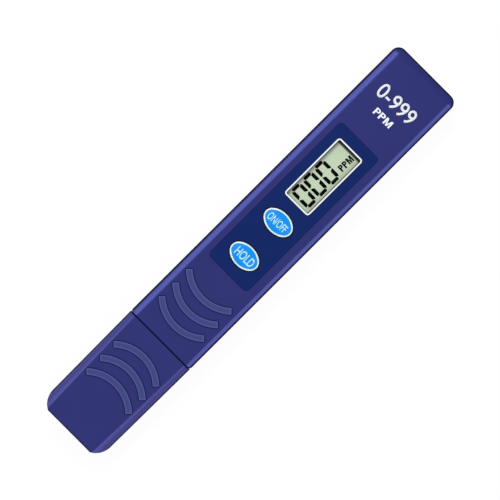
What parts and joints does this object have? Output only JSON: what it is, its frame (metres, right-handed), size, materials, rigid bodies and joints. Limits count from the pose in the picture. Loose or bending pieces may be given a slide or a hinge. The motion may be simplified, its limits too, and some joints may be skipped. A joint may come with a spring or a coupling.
{
  "type": "pen water conductivity meter",
  "caption": "Flat rectangular pen meter for dissolved solids in water: pull-off cap over a two-pin probe, reflective display, oval keys and a sliding battery door.",
  "frame": {"origin": "middle of the bounding box's bottom face, on the flat back that the pen lies on", "axes": "+X along the pen from the closed cap to the top end, +Y across it, +Z out of the front face with the display and keys"},
  "size_m": [0.152, 0.025, 0.0146],
  "materials": {
    "housing_blue": "satin moulded ABS",
    "cap_blue": "satin moulded ABS",
    "neck_blue": "satin moulded ABS",
    "overlay_blue": "printed polyester film",
    "lens_clear": "clear acrylic",
    "display_film": "grey-green polarising film",
    "display_glass": "polished",
    "reflector": "satin foil",
    "contact_rubber": "matt layered silicone",
    "white_plastic": "gloss moulded",
    "key_blue": "gloss moulded",
    "board_green": "solder mask on glass fibre",
    "chip_black": "matt epoxy",
    "passive_tan": "ceramic",
    "trimmer_blue": "gloss moulded",
    "contact_metal": "plated spring metal",
    "cell_steel": "bright nickel",
    "screw_steel": "zinc plated",
    "potting": "cured epoxy",
    "pin_metal": "polished stainless",
    "lead_red": "PVC insulation"
  },
  "bodies": {
    "housing": {"front_shell": "housing_blue", "back_shell": "housing_blue", "front_overlay": "overlay_blue", "display_lens": "lens_clear", "display_front_film": "display_film", "display_front_glass": "display_glass", "display_rear_glass": "display_glass", "display_reflector": "reflector", "display_contact_strips": "contact_rubber", "display_carrier": "white_plastic", "circuit_board": "board_green", "chip_blob": "chip_black", "amplifier_chip": "chip_black", "chip_passives": "passive_tan", "power_switch_base": "chip_black", "hold_switch_base": "chip_black", "trimmer_base": "trimmer_blue", "battery_contact_positive": "contact_metal", "battery_contact_negative": "contact_metal", "button_cells": "cell_steel", "case_screws": "screw_steel", "probe_sleeve": "neck_blue", "probe_potting": "potting", "probe_pins": "pin_metal", "probe_leads": "lead_red"},
    "cap": {"probe_cap": "cap_blue"},
    "door": {"battery_door": "housing_blue", "battery_bridge": "contact_metal"},
    "power_button": {"power_key": "white_plastic", "power_key_inlay": "key_blue", "power_switch_plunger": "white_plastic"},
    "hold_button": {"hold_key": "white_plastic", "hold_key_inlay": "key_blue", "hold_switch_plunger": "white_plastic"},
    "trimmer": {"trimmer_rotor": "white_plastic"}
  },
  "joints": [
    {"name": "cap_pull", "type": "slide", "parent": "housing", "child": "cap", "axis": [-1, 0, 0], "range_m": [0, 0.045]},
    {"name": "door_slide", "type": "slide", "parent": "housing", "child": "door", "axis": [1, 0, 0], "range_m": [0, 0.03]},
    {"name": "power_press", "type": "slide", "parent": "housing", "child": "power_button", "axis": [0, 0, -1], "range_m": [0, 0.0005], "stiffness_N_per_m": 1500, "springref_m": -0.0005},
    {"name": "hold_press", "type": "slide", "parent": "housing", "child": "hold_button", "axis": [0, 0, -1], "range_m": [0, 0.0005], "stiffness_N_per_m": 1500, "springref_m": -0.0005},
    {"name": "calibration_turn", "type": "hinge", "parent": "housing", "child": "trimmer", "pos_m": [0.0053, 0, 0.0045], "axis": [0, 0, -1], "range_deg": [-130, 130]}
  ]
}
